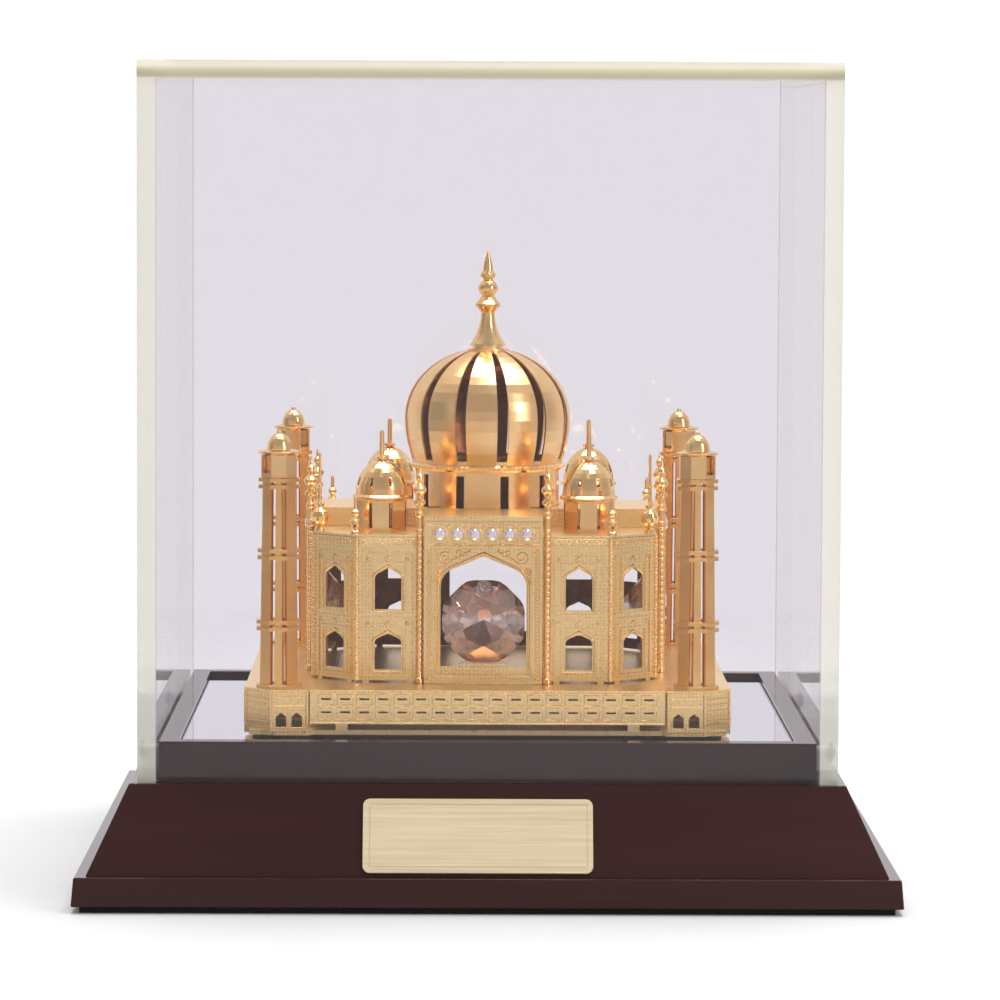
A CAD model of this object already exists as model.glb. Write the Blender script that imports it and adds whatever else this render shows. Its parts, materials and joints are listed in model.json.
"""Gilt miniature of a domed mausoleum on a mirror, in a lacquered base under a clear cover."""
import json
import math

import bmesh
import bpy
from mathutils import Matrix, Quaternion, Vector


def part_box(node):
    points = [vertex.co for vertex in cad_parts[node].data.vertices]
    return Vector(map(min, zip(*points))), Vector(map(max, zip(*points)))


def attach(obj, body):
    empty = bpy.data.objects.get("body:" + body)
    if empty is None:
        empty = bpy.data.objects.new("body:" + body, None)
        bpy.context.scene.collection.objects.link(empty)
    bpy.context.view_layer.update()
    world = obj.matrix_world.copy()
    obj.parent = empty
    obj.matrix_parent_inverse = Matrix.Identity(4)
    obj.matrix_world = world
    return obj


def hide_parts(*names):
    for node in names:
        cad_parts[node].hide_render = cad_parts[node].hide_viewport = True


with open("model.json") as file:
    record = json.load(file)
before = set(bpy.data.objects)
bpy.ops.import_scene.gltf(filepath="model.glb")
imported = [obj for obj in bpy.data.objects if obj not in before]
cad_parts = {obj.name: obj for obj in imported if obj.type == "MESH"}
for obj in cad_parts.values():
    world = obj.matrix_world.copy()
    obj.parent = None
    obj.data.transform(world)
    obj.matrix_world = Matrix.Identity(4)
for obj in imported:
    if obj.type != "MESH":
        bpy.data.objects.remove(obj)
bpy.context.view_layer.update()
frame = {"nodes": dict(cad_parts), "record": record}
nodes = frame["nodes"]
slot_of = {part["node"]: part["material_slot"] for part in frame["record"]["subparts"]}

MM = 0.001
# The middle of the building's platform underside, and the angle of the hall on that platform
BUILDING = Vector((0, -4.5, 39.3)) * MM
HALL_TURN = -1.4


# ---------- Shader helpers ----------

def new_material(name):
    """An empty Principled material. Returns it with its node tree and shader."""
    material = bpy.data.materials.new(name)
    material.use_nodes = True
    tree = material.node_tree
    return material, tree, tree.nodes["Principled BSDF"]


def add(tree, kind, **sockets):
    """A node with some inputs set. A socket's name has underscores for spaces."""
    node = tree.nodes.new(kind)
    for name, value in sockets.items():
        node.inputs[name.replace("_", " ")].default_value = value
    return node


def set_inputs(shader, **sockets):
    for name, value in sockets.items():
        if isinstance(value, tuple) and len(value) == 3:
            value = (*value, 1)
        shader.inputs[name.replace("_", " ")].default_value = value


def object_coords(tree):
    return add(tree, "ShaderNodeTexCoord").outputs["Object"]


def noise(tree, coords, scale, detail=3.0, stretch=None):
    """Noise over the object in metres: scale is cells per metre, stretch squeezes it along an axis."""
    if stretch:
        mapping = add(tree, "ShaderNodeMapping", Scale=stretch)
        tree.links.new(coords, mapping.inputs["Vector"])
        coords = mapping.outputs["Vector"]
    node = add(tree, "ShaderNodeTexNoise", Scale=scale, Detail=detail)
    tree.links.new(coords, node.inputs["Vector"])
    return node.outputs["Fac"]


def cells(tree, coords, scale):
    """Distance to the nearest of many scattered points, for a stamped or etched pattern."""
    node = add(tree, "ShaderNodeTexVoronoi", Scale=scale, Randomness=0.35)
    tree.links.new(coords, node.inputs["Vector"])
    return node.outputs["Distance"]


def between(tree, value, low, high):
    """Maps 0..1 to low..high."""
    node = add(tree, "ShaderNodeMapRange", To_Min=low, To_Max=high)
    tree.links.new(value, node.inputs["Value"])
    return node.outputs["Result"]


def two_colours(tree, value, dark, light):
    ramp = add(tree, "ShaderNodeValToRGB")
    ramp.color_ramp.elements[0].position = 0.3
    ramp.color_ramp.elements[1].position = 0.7
    ramp.color_ramp.elements[0].color = (*dark, 1)
    ramp.color_ramp.elements[1].color = (*light, 1)
    tree.links.new(value, ramp.inputs["Fac"])
    return ramp.outputs["Color"]


def bump(tree, shader, height, depth, strength=1.0, base=None):
    node = add(tree, "ShaderNodeBump", Distance=depth, Strength=strength)
    tree.links.new(height, node.inputs["Height"])
    if base:
        tree.links.new(base, node.inputs["Normal"])
    tree.links.new(node.outputs["Normal"], shader.inputs["Normal"])
    return node.outputs["Normal"]


def rounded_edges(tree, radius):
    return add(tree, "ShaderNodeBevel", Radius=radius).outputs["Normal"]


# ---------- Materials ----------

GLASS_T = 4.5 * MM
GLASS_IOR = 1.35
# Colours of a pane's sawn edge, from its inner face to its outer face
EDGE_OF_SIDE = [
    (0.0, (0.88, 0.84, 0.82)),
    (0.3, (0.86, 0.83, 0.76)),
    (0.8, (0.84, 0.82, 0.72)),
    (1.0, (0.80, 0.81, 0.74)),
]
EDGE_OF_TOP = [
    (0.0, (0.88, 0.82, 0.80)),
    (0.13, (0.58, 0.53, 0.44)),
    (0.3, (0.56, 0.52, 0.39)),
    (0.5, (0.68, 0.64, 0.47)),
    (0.7, (0.90, 0.86, 0.72)),
    (1.0, (0.95, 0.91, 0.86)),
]
# From a crystal's foot to its top
CRYSTAL_TINTS = [
    (0.0, (0.92, 0.50, 0.22)),
    (0.42, (0.98, 0.62, 0.36)),
    (0.47, (1.0, 0.90, 0.86)),
    (0.53, (1.0, 0.92, 0.92)),
    (0.58, (0.72, 0.46, 0.38)),
    (1.0, (0.52, 0.34, 0.32)),
]
# Share of a crystal's back facets that acts as foil
FOIL_SHARE = 0.45
# A face counts as turned inwards or down past this cosine
INWARDS = -0.5
# A pane's face counts as a broad one past this cosine
BROAD = 0.9


def ramp_colours(tree, value, stops):
    """A colour that follows the value through the given (position, colour) stops."""
    ramp = add(tree, "ShaderNodeValToRGB")
    elements = ramp.color_ramp.elements
    while len(elements) < len(stops):
        elements.new(0.5)
    for element, (position, colour) in zip(elements, stops):
        element.position = position
        element.color = (*colour, 1)
    tree.links.new(value, ramp.inputs["Fac"])
    return ramp.outputs["Color"]


def vector_math(tree, operation, first, second=None):
    """A vector node. Each input is a socket or a constant."""
    node = add(tree, "ShaderNodeVectorMath")
    node.operation = operation
    for socket, value in zip(node.inputs, (first, second)):
        if isinstance(value, bpy.types.NodeSocket):
            tree.links.new(value, socket)
        elif value is not None:
            socket.default_value = value
    return node


def scalar_math(tree, operation, first, second=0.0):
    """A number node. Each input is a socket or a constant."""
    node = add(tree, "ShaderNodeMath")
    node.operation = operation
    for socket, value in zip(node.inputs, (first, second)):
        if isinstance(value, bpy.types.NodeSocket):
            tree.links.new(value, socket)
        else:
            socket.default_value = value
    return node.outputs["Value"]


def facing_inwards(tree, coords):
    """1 on faces turned towards the building's middle or down, 0 elsewhere."""
    normal = add(tree, "ShaderNodeNewGeometry").outputs["True Normal"]
    centred = vector_math(tree, "SUBTRACT", coords, tuple(BUILDING)).outputs["Vector"]
    flat = vector_math(tree, "MULTIPLY", centred, (1, 1, 0)).outputs["Vector"]
    outwards = vector_math(tree, "NORMALIZE", flat).outputs["Vector"]
    along = vector_math(tree, "DOT_PRODUCT", normal, outwards).outputs["Value"]
    lift = vector_math(tree, "DOT_PRODUCT", normal, (0, 0, 1)).outputs["Value"]
    lowest = scalar_math(tree, "MINIMUM", along, lift)
    return scalar_math(tree, "LESS_THAN", lowest, INWARDS)


def gilt(name, dark, light, roughness, etching, mottled, lined=False):
    """Gold plating over sheet brass. Mottled sheet is pitted, and lined sheet is bare brown inside."""
    material, tree, shader = new_material(name)
    coords = object_coords(tree)
    pits = cells(tree, coords, 1100)
    pattern = pits if mottled else noise(tree, coords, 90)
    colour = two_colours(tree, pattern, dark, light)
    if mottled:
        ramp = colour.node.color_ramp
        ramp.elements[0].position, ramp.elements[1].position = 0.12, 0.5
    if lined:
        mix = add(tree, "ShaderNodeMix")
        mix.data_type = "RGBA"
        tree.links.new(facing_inwards(tree, coords), mix.inputs["Factor"])
        tree.links.new(colour, mix.inputs["A"])
        inside = two_colours(tree, noise(tree, coords, 300), (0.20, 0.07, 0.025), (0.34, 0.13, 0.045))
        tree.links.new(inside, mix.inputs["B"])
        colour = mix.outputs["Result"]
    tree.links.new(colour, shader.inputs["Base Color"])
    set_inputs(shader, Metallic=1.0)
    tree.links.new(between(tree, noise(tree, coords, 700), *roughness), shader.inputs["Roughness"])
    edges = rounded_edges(tree, 0.12 * MM)
    waves = add(tree, "ShaderNodeBump", Distance=0.05 * MM, Strength=0.35)
    tree.links.new(noise(tree, coords, 170, 1), waves.inputs["Height"])
    tree.links.new(edges, waves.inputs["Normal"])
    bump(tree, shader, pits, etching, 1.0, waves.outputs["Normal"])
    return material


def gilt_etched(name="gilt_etched", lined=False):
    return gilt(name, (0.86, 0.48, 0.17), (1.0, 0.745, 0.34), (0.2, 0.42), 0.07 * MM, True, lined)


def gilt_hall():
    return gilt_etched("gilt_hall", True)


def gilt_dome():
    return gilt("gilt_dome", (0.94, 0.58, 0.24), (1.0, 0.69, 0.32), (0.18, 0.3), 0.003 * MM, False, True)


def gilt_satin():
    return gilt("gilt_satin", (0.88, 0.48, 0.15), (0.98, 0.62, 0.24), (0.14, 0.28), 0.006 * MM, False)


def gilt_smooth():
    return gilt("gilt_smooth", (0.92, 0.56, 0.21), (1.0, 0.70, 0.32), (0.08, 0.2), 0.003 * MM, False)


def lacquered_wood():
    """Nearly black red-brown lacquer: deep colour head-on, bright at a grazing angle."""
    material, tree, shader = new_material("lacquered_wood")
    coords = object_coords(tree)
    grain = noise(tree, coords, 60, 4, stretch=(0.15, 1, 1))
    tree.links.new(
        two_colours(tree, grain, (0.036, 0.0135, 0.0125), (0.044, 0.0175, 0.0165)),
        shader.inputs["Base Color"],
    )
    set_inputs(shader, Roughness=0.1, IOR=1.24)
    bump(tree, shader, noise(tree, coords, 260, 1), 0.02 * MM, 0.15)
    return material


def size_along(tree, vector, axis):
    """A vector's component along an axis, without its sign."""
    split = add(tree, "ShaderNodeSeparateXYZ")
    tree.links.new(vector, split.inputs["Vector"])
    return scalar_math(tree, "ABSOLUTE", split.outputs[axis])


def across_sheet(tree, coords, axis):
    """0 on a pane's inner face and 1 on its outer face, along the axis square to the pane."""
    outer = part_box("cover_pane_top")[1][axis]
    across = add(tree, "ShaderNodeMapRange", From_Min=outer - GLASS_T, From_Max=outer)
    tree.links.new(size_along(tree, coords, axis), across.inputs["Value"])
    return across.outputs["Result"]


def cover_glass(axis):
    """Clear sheet. Its broad faces, square to one axis, are thin glass, and its sawn edges are milky."""
    material, tree, shader = new_material("cover_glass_" + "xyz"[axis])
    coords = object_coords(tree)
    geometry = add(tree, "ShaderNodeNewGeometry")

    # The glass's gloss, worked out from outside on both of its sides
    ior = add(tree, "ShaderNodeMapRange", To_Min=GLASS_IOR, To_Max=1 / GLASS_IOR)
    tree.links.new(geometry.outputs["Backfacing"], ior.inputs["Value"])
    fresnel = add(tree, "ShaderNodeFresnel")
    tree.links.new(ior.outputs["Result"], fresnel.inputs["IOR"])
    clear = add(tree, "ShaderNodeBsdfTransparent", Color=(0.925, 0.913, 0.932, 1))
    gloss = add(tree, "ShaderNodeBsdfGlossy", Color=(1, 1, 1, 1), Roughness=0.0)
    face = add(tree, "ShaderNodeMixShader")
    tree.links.new(fresnel.outputs["Fac"], face.inputs["Fac"])
    tree.links.new(clear.outputs["BSDF"], face.inputs[1])
    tree.links.new(gloss.outputs["BSDF"], face.inputs[2])

    # Sawn and flame-polished edge: greenish cream, with a darker core along the sheet
    stops = EDGE_OF_TOP if axis == 2 else EDGE_OF_SIDE
    tint = ramp_colours(tree, across_sheet(tree, coords, axis), stops)
    tree.links.new(tint, shader.inputs["Base Color"])
    stretch = [1, 1, 1]
    stretch[axis] = 8
    streaks = noise(tree, coords, 60, 3, stretch=tuple(stretch))
    tree.links.new(between(tree, streaks, 0.1, 0.35), shader.inputs["Roughness"])
    through = add(tree, "ShaderNodeBsdfTransparent")
    tree.links.new(tint, through.inputs["Color"])
    edge = add(tree, "ShaderNodeMixShader", Fac=0.5)
    tree.links.new(through.outputs["BSDF"], edge.inputs[1])
    tree.links.new(shader.outputs["BSDF"], edge.inputs[2])

    squareness = size_along(tree, geometry.outputs["True Normal"], axis)
    both = add(tree, "ShaderNodeMixShader")
    tree.links.new(scalar_math(tree, "GREATER_THAN", squareness, BROAD), both.inputs["Fac"])
    tree.links.new(edge.outputs["Shader"], both.inputs[1])
    tree.links.new(face.outputs["Shader"], both.inputs[2])
    tree.links.new(both.outputs["Shader"], tree.nodes["Material Output"].inputs["Surface"])
    return material


def mirror():
    material, tree, shader = new_material("mirror")
    coords = object_coords(tree)
    set_inputs(shader, Base_Color=(0.80, 0.82, 0.87), Metallic=1.0)
    tree.links.new(between(tree, noise(tree, coords, 40), 0.0, 0.03), shader.inputs["Roughness"])
    return material


def champagne_plate():
    material, tree, shader = new_material("champagne_plate")
    coords = object_coords(tree)
    brushed = noise(tree, coords, 1500, 2, stretch=(0.02, 1, 1))
    tree.links.new(
        two_colours(tree, brushed, (0.70, 0.56, 0.36), (0.80, 0.67, 0.46)), shader.inputs["Base Color"]
    )
    set_inputs(shader, Metallic=0.45)
    tree.links.new(between(tree, brushed, 0.35, 0.5), shader.inputs["Roughness"])
    bump(tree, shader, brushed, 0.01 * MM, 0.3)
    return material


def crystal():
    """Cut glass with a dark top, a clear middle and an amber foot, and with foil on its back facets."""
    material, tree, shader = new_material("crystal")
    coords = object_coords(tree)
    low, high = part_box("crystal_front")
    split = add(tree, "ShaderNodeSeparateXYZ")
    tree.links.new(coords, split.inputs["Vector"])
    height = add(tree, "ShaderNodeMapRange", From_Min=low.z, From_Max=high.z)
    tree.links.new(split.outputs["Z"], height.inputs["Value"])
    tint = ramp_colours(tree, height.outputs["Result"], CRYSTAL_TINTS)
    tree.links.new(tint, shader.inputs["Base Color"])
    set_inputs(shader, IOR=1.6, Transmission_Weight=1.0)
    tree.links.new(between(tree, noise(tree, coords, 200), 0.0, 0.015), shader.inputs["Roughness"])
    foil = add(tree, "ShaderNodeBsdfGlossy", Roughness=0.04)
    tree.links.new(tint, foil.inputs["Color"])
    backed = add(tree, "ShaderNodeMixShader")
    share = scalar_math(tree, "MULTIPLY", facing_inwards(tree, coords), FOIL_SHARE)
    tree.links.new(share, backed.inputs["Fac"])
    tree.links.new(shader.outputs["BSDF"], backed.inputs[1])
    tree.links.new(foil.outputs["BSDF"], backed.inputs[2])
    tree.links.new(backed.outputs["Shader"], tree.nodes["Material Output"].inputs["Surface"])
    return material


def small_stones():
    """Foil-backed stones, so they throw the light back from every facet."""
    material, tree, shader = new_material("small_stones")
    coords = object_coords(tree)
    tree.links.new(
        two_colours(tree, noise(tree, coords, 900), (0.86, 0.78, 0.84), (1.0, 0.97, 1.0)),
        shader.inputs["Base Color"],
    )
    set_inputs(shader, Metallic=0.85, Roughness=0.12, Coat_Weight=1.0)
    return material


def dark_screw():
    material, tree, shader = new_material("dark_screw")
    coords = object_coords(tree)
    set_inputs(shader, Base_Color=(0.05, 0.042, 0.025), Metallic=0.8)
    tree.links.new(between(tree, noise(tree, coords, 1500), 0.25, 0.45), shader.inputs["Roughness"])
    return material


def zinc_steel():
    material, tree, shader = new_material("zinc_steel")
    coords = object_coords(tree)
    set_inputs(shader, Base_Color=(0.62, 0.63, 0.64), Metallic=1.0)
    tree.links.new(between(tree, noise(tree, coords, 900), 0.2, 0.4), shader.inputs["Roughness"])
    return material


def felt():
    material, tree, shader = new_material("felt")
    coords = object_coords(tree)
    fibres = noise(tree, coords, 2500, 5)
    tree.links.new(
        two_colours(tree, fibres, (0.004, 0.003, 0.003), (0.02, 0.016, 0.016)), shader.inputs["Base Color"]
    )
    set_inputs(shader, Roughness=1.0, Sheen_Weight=0.1)
    bump(tree, shader, fibres, 0.3 * MM, 0.8)
    return material


GLASS = [cover_glass(axis) for axis in range(3)]
GOLD = {
    "etched": gilt_etched(),
    "hall": gilt_hall(),
    "dome": gilt_dome(),
    "satin": gilt_satin(),
    "smooth": gilt_smooth(),
}
# Finish by the start of the node's name; the first that fits is taken, and the rest is etched
FINISHES = {
    "minaret_shaft_": "satin",
    "portal_pinnacles": "smooth",
    "corner_wall_": "hall",
    "portal_": "hall",
    "roof_plate": "hall",
    "dome_shell": "dome",
    "dome_drum": "dome",
    "dome_": "smooth",
    "kiosk_": "smooth",
    "minaret_lantern_": "smooth",
    "corner_spires": "smooth",
    "corner_balusters": "smooth",
}
PLAIN = {
    maker.__name__: maker()
    for maker in (
        lacquered_wood, mirror, champagne_plate, crystal, small_stones, dark_screw, zinc_steel, felt,
    )
}


def material_for(name):
    slot = slot_of[name]
    if slot == "cover_glass":
        if name.endswith("top"):
            return GLASS[2]
        return GLASS[0 if name.endswith(("left", "right")) else 1]
    if slot == "gilt_sheet":
        for start, finish in FINISHES.items():
            if name.startswith(start):
                return GOLD[finish]
        return GOLD["etched"]
    return PLAIN[slot]


for name, part in nodes.items():
    part.data.materials.clear()
    part.data.materials.append(material_for(name))


# ---------- Softened edges on the CAD pieces ----------

def soften(name, width):
    """Welds the node's split corners and rounds its sharp edges."""
    part = nodes[name]
    weld = part.modifiers.new("weld", "WELD")
    weld.merge_threshold = 0.001 * MM
    bevel = part.modifiers.new("bevel", "BEVEL")
    bevel.width = width
    bevel.segments = 2
    bevel.limit_method = "ANGLE"
    bevel.angle_limit = math.radians(30)
    bevel.harden_normals = False


for name, slot in slot_of.items():
    if slot == "lacquered_wood":
        soften(name, 0.35 * MM)
    elif slot in ("champagne_plate", "dark_screw"):
        soften(name, 0.12 * MM)


# ---------- Relief on the building ----------

# Sizes in millimetres in the building's frame, as in the part's source
HALL_HALF = 43.5
CHAMFER_OUT = (HALL_HALF + 32) / math.sqrt(2)
WALL_MID = 24.05
PORTAL_FACE = 46.0
RECESS_FACE = PORTAL_FACE - 1.4
COLUMN_X, COLUMN_Y = 16.1, -45.1
FOLD_X, FOLD_Y = 32.0, -HALL_HALF
# Half width, sill, shoulder and point
LOW_WINDOW = (3.35, 14.6, 21.2, 23.7)
HIGH_WINDOW = (3.35, 29.8, 37.5, 40.3)
STONE_PITCH, STONE_COUNT, STONE_RISE = 4.4, 6, 49.1
BASTION_AT = 49.45
BASTION_R = 11.96
WALL_OUT = 60.4
SLOT_PITCH, SLOT_COLUMNS = 4.726, 18
COLLAR_R, COLLAR_RISE = 19.8, 63.6


def add_piece(name, mesh, material):
    """A piece of the building, fixed to the base's body."""
    mesh.materials.append(material)
    piece = bpy.data.objects.new(name, mesh)
    bpy.context.scene.collection.objects.link(piece)
    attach(piece, "display_base")
    return piece


def turned(degrees):
    return Matrix.Rotation(math.radians(degrees), 3, "Z")


def in_place(point, turn):
    """A point in the building's frame, turned about its middle, as metres in the scene."""
    return BUILDING + turned(turn) @ Vector(point) * MM


def four_ways(points):
    """The same points on all four sides of the building."""
    return [turned(90 * i) @ Vector(point) for i in range(4) for point in points]


def on_circle(radius, degrees):
    return radius * math.cos(math.radians(degrees)), radius * math.sin(math.radians(degrees))


def steps(low, high, count):
    return [low + (high - low) * i / (count - 1) for i in range(count)]


def beads(name, points, radius, squash=1.0, turn=HALL_TURN):
    """Many small round beads, each a little flattened or not."""
    builder = bmesh.new()
    for point in points:
        middle = in_place(point, turn)
        made = bmesh.ops.create_icosphere(builder, subdivisions=2, radius=radius * MM)
        for vertex in made["verts"]:
            vertex.co = middle + Vector((vertex.co.x, vertex.co.y, vertex.co.z * squash))
    mesh = bpy.data.meshes.new(name)
    builder.to_mesh(mesh)
    builder.free()
    mesh.polygons.foreach_set("use_smooth", [True] * len(mesh.polygons))
    add_piece(name, mesh, GOLD["smooth"])


def ribs(name, paths, radius, turn=HALL_TURN, finish="smooth"):
    """Thin round ribs along paths of points, half sunk in the face they decorate."""
    data = bpy.data.curves.new(name, "CURVE")
    data.dimensions = "3D"
    data.bevel_depth = radius * MM
    data.bevel_resolution = 2
    data.use_fill_caps = True
    for path in paths:
        spline = data.splines.new("POLY")
        spline.points.add(len(path) - 1)
        for spot, point in zip(spline.points, path):
            spot.co = (*in_place(point, turn), 1)
    curve = bpy.data.objects.new(name + "_path", data)
    mesh = bpy.data.meshes.new_from_object(curve)
    mesh.name = name
    bpy.data.objects.remove(curve)
    mesh.materials.clear()
    add_piece(name, mesh, GOLD[finish])


def upright(path, out):
    """Stands a flat path of (x, z) points up on the plane y = -out."""
    return [(x, -out, z) for x, z in path]


def both_hands(paths):
    return paths + [[(-x, z) for x, z in path] for path in paths]


def arch_path(half, foot, shoulder, peak):
    """A pointed arch from one foot over the point to the other, like the openings cut in the sheet."""
    round_r = 0.45 * half
    centre_x = half - round_r
    rise = peak - shoulder
    last = math.atan2(rise, -centre_x) - math.acos(round_r / math.hypot(centre_x, rise))
    side = [(half, foot)]
    for angle in steps(0, last, 7):
        side.append((centre_x + round_r * math.cos(angle), shoulder + round_r * math.sin(angle)))
    return side + [(0, peak)] + [(-x, z) for x, z in reversed(side)]


def spiral(x, z, radius, start, turns):
    """A scroll that winds in from the given angle, in degrees."""
    count = int(14 * turns)
    points = []
    for share in steps(0, 1, count + 1):
        across, up = on_circle(radius * (1 - 0.8 * share), start + 360 * turns * share)
        points.append((x + across, z + up))
    return points


def zigzag(x, low, high, pitch, half, flip=1):
    """A path that climbs from low to high and swings by half to each side of x."""
    count = int((high - low) / pitch)
    return [(x + flip * (half if i % 2 else -half), low + pitch * i) for i in range(count + 1)]


def box_path(half, low, high):
    return [(-half, low), (half, low), (half, high), (-half, high), (-half, low)]


def on_sides(paths, out):
    """The same flat paths on the four sides of the hall."""
    stood = [upright(path, out) for path in paths]
    return [[turned(90 * i) @ Vector(point) for point in path] for i in range(4) for path in stood]


def on_wall_faces(paths, proud):
    """The same flat paths on the three faces of each of the hall's four corners."""
    result = []
    for quarter in range(4):
        for face in range(3):
            out = (CHAMFER_OUT if face == 1 else HALL_HALF) + proud
            shift = (WALL_MID, 0, -WALL_MID)[face]
            for path in paths:
                stood = [Vector((x + shift, -out, z)) for x, z in path]
                result.append([turned(90 * quarter + 45 * face) @ point for point in stood])
    return result


def grown(window, by):
    """A window's outline, drawn a little outside it."""
    return arch_path(window[0] + by, window[1] - by, window[2], window[3] + 1.3 * by)


def decorate_hall():
    columns = [(side * COLUMN_X, COLUMN_Y, z) for side in (-1, 1) for z in steps(14, 50, 24)]
    beads("column_beads", four_ways(columns), 1.05, 0.55)
    folds = [(side * FOLD_X, FOLD_Y, z) for side in (-1, 1) for z in steps(13, 46.5, 34)]
    beads("fold_beads", four_ways(folds), 0.62, 0.7)
    frieze = [
        (STONE_PITCH * (i - 2), -PORTAL_FACE - 0.1, STONE_RISE + side * 1.9)
        for i in range(STONE_COUNT - 1)
        for side in (-1, 1)
    ]
    beads("frieze_beads", four_ways(frieze), 0.35)
    # Arch with scrolls in its two upper corners
    ribs("arch_mouldings", on_sides([arch_path(11.35, 14.6, 35.9, 44.3)], RECESS_FACE), 0.35)
    scrolls = [
        spiral(9.6, 43.2, 1.9, 200, 1.6),
        spiral(6.0, 44.2, 1.1, 160, 1.4),
        spiral(11.1, 39.6, 1.0, 250, 1.4),
        [(11.9, 36.4), (11.6, 38.2), (10.6, 40.4), (9.0, 41.6), (7.2, 42.9), (5.2, 43.6), (3.4, 44.9)],
    ]
    ribs("spandrel_scrolls", on_sides(both_hands(scrolls), RECESS_FACE), 0.22)
    # Chains of diamonds up the portal's edges, and lines over and under its stones
    chains = [zigzag(13.6, 12.2, 46.0, 0.9, 0.5), zigzag(13.6, 12.2, 46.0, 0.9, 0.5, -1)]
    lines = [[(-14.2, z), (14.2, z)] for z in (46.5, 51.7)]
    ribs("portal_chains", on_sides(both_hands(chains) + lines, PORTAL_FACE), 0.2)
    # Window frames, a lozenge over each window and a chain along each cornice
    frames = [grown(LOW_WINDOW, 0.55), grown(HIGH_WINDOW, 0.55)]
    lozenges = [[(-0.9, z), (0, z + 0.8), (0.9, z), (0, z - 0.8), (-0.9, z)] for z in (26.0, 42.5)]
    corners = [spiral(side * 4.9, z, 0.6, 90, 1.2) for side in (-1, 1) for z in (26.2, 42.4)]
    ribs("window_frames", on_wall_faces(frames, 0.0), 0.28)
    ribs("wall_ornaments", on_wall_faces(lozenges + corners, 0.0), 0.18)
    chain = [[(-6.5 + 0.65 * i, 46.9 + (0.45 if i % 2 else -0.45)) for i in range(21)]]
    ribs("cornice_chains", on_wall_faces(chain, 0.35), 0.16)


def decorate_platform():
    """Posts and lines on the bastions, panels between the slots of the walls."""
    posts, lines = [], []
    corner = [Vector((*on_circle(BASTION_R, 22.5 + 45 * i), 0)) for i in range(9)]
    for sx in (-1, 1):
        for sy in (-1, 1):
            centre = Vector((sx * BASTION_AT, sy * BASTION_AT, 0))
            for i in range(8):
                a, b = centre + corner[i], centre + corner[i + 1]
                posts.append([a + Vector((0, 0, z)) for z in (2.0, 10.5)])
                # The sides with arches only have lines over them
                levels = (7.3, 9.4) if i % 2 else steps(3.4, 9.2, 5)
                lines += [[a.lerp(b, t) + Vector((0, 0, z)) for t in (0.08, 0.92)] for z in levels]
    ribs("bastion_posts", posts, 0.4, 0, "etched")
    ribs("bastion_lines", lines, 0.16, 0)
    panels = [box_path(1.95, 7.6, 10.2), box_path(1.95, 4.0, 6.9)]
    columns = [(i - (SLOT_COLUMNS - 1) / 2) * SLOT_PITCH for i in range(SLOT_COLUMNS)]
    paths = [[(x + at, z) for x, z in path] for at in columns for path in panels]
    paths += [[(-44, z), (44, z)] for z in (3.1, 10.7)]
    ribs("platform_panels", on_sides(paths, WALL_OUT), 0.14, 0)


def cut_stones():
    """Small faceted stones in place of the plain ones over the portals, each in a thin setting."""
    radius, height, setting_r = 1.55, 0.8, 1.75
    # Corners, share of the radius, share of the height and first angle of each ring of a stone
    levels = ((16, 1.0, 0.0, 0), (16, 1.0, 0.25, 0), (8, 0.82, 0.62, 22.5), (8, 0.55, 1.0, 0))
    middles = [STONE_PITCH * (i - (STONE_COUNT - 1) / 2) for i in range(STONE_COUNT)]
    builder = bmesh.new()
    for side in range(4):
        for middle in middles:
            spots = []
            for count, share, level, start in levels:
                for k in range(count):
                    across, up = on_circle(radius * share, start + 360 / count * k)
                    spot = Vector((middle + across, -PORTAL_FACE - level * height, STONE_RISE + up))
                    spots.append(builder.verts.new(in_place(turned(90 * side) @ spot, HALL_TURN)))
            hull = bmesh.ops.convex_hull(builder, input=spots)
            loose = [item for item in hull["geom_interior"] if isinstance(item, bmesh.types.BMVert)]
            bmesh.ops.delete(builder, geom=loose, context="VERTS")
    mesh = bpy.data.meshes.new("cut_stones")
    builder.to_mesh(mesh)
    builder.free()
    piece = add_piece("cut_stones", mesh, PLAIN["small_stones"])
    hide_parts("frieze_stones")
    rings = []
    for middle in middles:
        ring = [on_circle(setting_r, degrees) for degrees in steps(0, 360, 25)]
        rings.append([(middle + across, STONE_RISE + up) for across, up in ring])
    ribs("stone_settings", on_sides(rings, PORTAL_FACE), 0.2, finish="hall")


decorate_hall()
decorate_platform()
collar = [(*on_circle(COLLAR_R, degrees), COLLAR_RISE) for degrees in steps(0, 360, 97)[:-1]]
beads("collar_beads", collar, 0.42)
cut_stones()


# ---------- Floor, light and camera ----------

FLOOR_COLOUR = (0.6, 0.6, 0.6)
WORLD_LEVEL = 1.05
# Dimmer parts of the studio: direction, spread in degrees and how much darker its middle is
DIM_PARTS = (
    ((0, -0.74, 0.67), 62, 0.5),
    ((-0.95, -0.3, 0.1), 50, 0.6),
    ((0.97, -0.1, 0.2), 40, 0.4),
)


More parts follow.
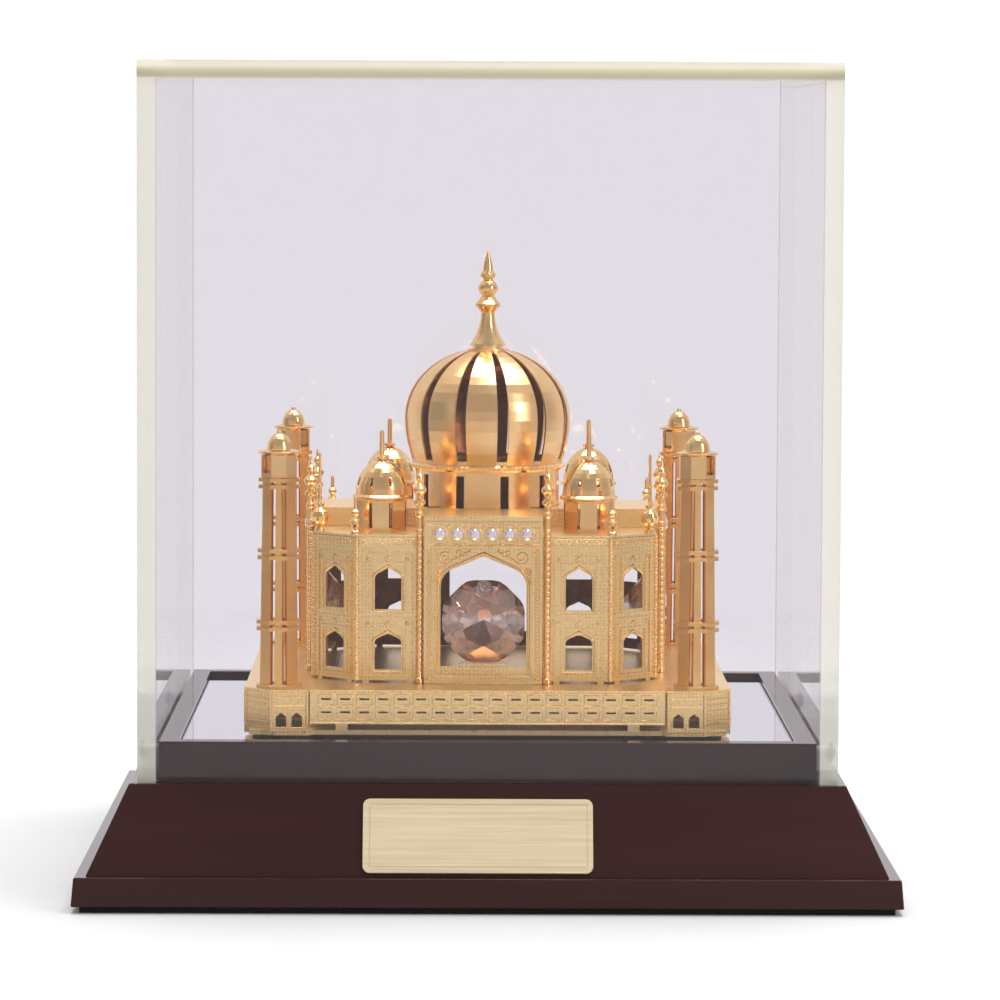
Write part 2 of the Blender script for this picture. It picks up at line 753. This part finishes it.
def make_floor():
    """A pale table top that fades into the equally pale backdrop all round."""
    bpy.ops.mesh.primitive_plane_add(size=2.4, location=(0, 0, 0))
    floor = bpy.context.object
    floor.name = "floor"
    material, tree, shader = new_material("floor")
    set_inputs(shader, Base_Color=FLOOR_COLOUR, Roughness=0.8)
    reach = vector_math(tree, "LENGTH", object_coords(tree))
    fade = add(tree, "ShaderNodeMapRange", From_Min=0.25, From_Max=0.75)
    fade.interpolation_type = "SMOOTHSTEP"
    tree.links.new(reach.outputs["Value"], fade.inputs["Value"])
    backdrop = add(tree, "ShaderNodeBsdfTransparent")
    both = add(tree, "ShaderNodeMixShader")
    tree.links.new(fade.outputs["Result"], both.inputs["Fac"])
    tree.links.new(shader.outputs["BSDF"], both.inputs[1])
    tree.links.new(backdrop.outputs["BSDF"], both.inputs[2])
    tree.links.new(both.outputs["Shader"], tree.nodes["Material Output"].inputs["Surface"])
    floor.data.materials.append(material)


def make_world():
    """A white studio with some dimmer parts, so that metal has something to reflect."""
    world = bpy.data.worlds.new("studio")
    bpy.context.scene.world = world
    world.use_nodes = True
    tree = world.node_tree
    direction = add(tree, "ShaderNodeTexCoord").outputs["Generated"]
    level = WORLD_LEVEL
    for toward, spread, dim in DIM_PARTS:
        dot = vector_math(tree, "DOT_PRODUCT", direction, Vector(toward).normalized())
        edge = math.cos(math.radians(spread))
        fall = add(tree, "ShaderNodeMapRange", From_Min=edge, From_Max=1.0, To_Min=1.0, To_Max=1 - dim)
        fall.interpolation_type = "SMOOTHSTEP"
        tree.links.new(dot.outputs["Value"], fall.inputs["Value"])
        level = scalar_math(tree, "MULTIPLY", fall.outputs["Result"], level)
    background = tree.nodes["Background"]
    background.inputs["Color"].default_value = (1, 1, 1, 1)
    tree.links.new(level, background.inputs["Strength"])


def softbox(name, place, size, power, target=(0, 0, 0.08)):
    data = bpy.data.lights.new(name, "AREA")
    data.shape = "RECTANGLE"
    data.size, data.size_y = size
    data.energy = power
    light = bpy.data.objects.new(name, data)
    bpy.context.scene.collection.objects.link(light)
    light.location = place
    light.rotation_mode = "QUATERNION"
    light.rotation_quaternion = (Vector(target) - light.location).to_track_quat("-Z", "Y")


def make_camera():
    """Far off and a little above the roof, looking slightly down at the middle of the object."""
    data = bpy.data.cameras.new("camera")
    data.sensor_width = 36
    data.lens = 175.5
    camera = bpy.data.objects.new("camera", data)
    bpy.context.scene.collection.objects.link(camera)
    camera.location = Vector((-7.7, -1270.6, 188.6)) * MM
    target = Vector((3.4, 0, 93.3)) * MM
    look = (target - camera.location).to_track_quat("-Z", "Y")
    camera.rotation_mode = "QUATERNION"
    camera.rotation_quaternion = look @ Quaternion((0, 0, 1), math.radians(0.27))
    bpy.context.scene.camera = camera


make_floor()
make_world()
softbox("top_light", (0.1, 0.15, 1.3), (1.1, 0.9), 22)
softbox("right_light", (0.9, -0.8, 0.55), (0.25, 0.7), 5)
make_camera()
bpy.context.scene.view_settings.view_transform = "Standard"
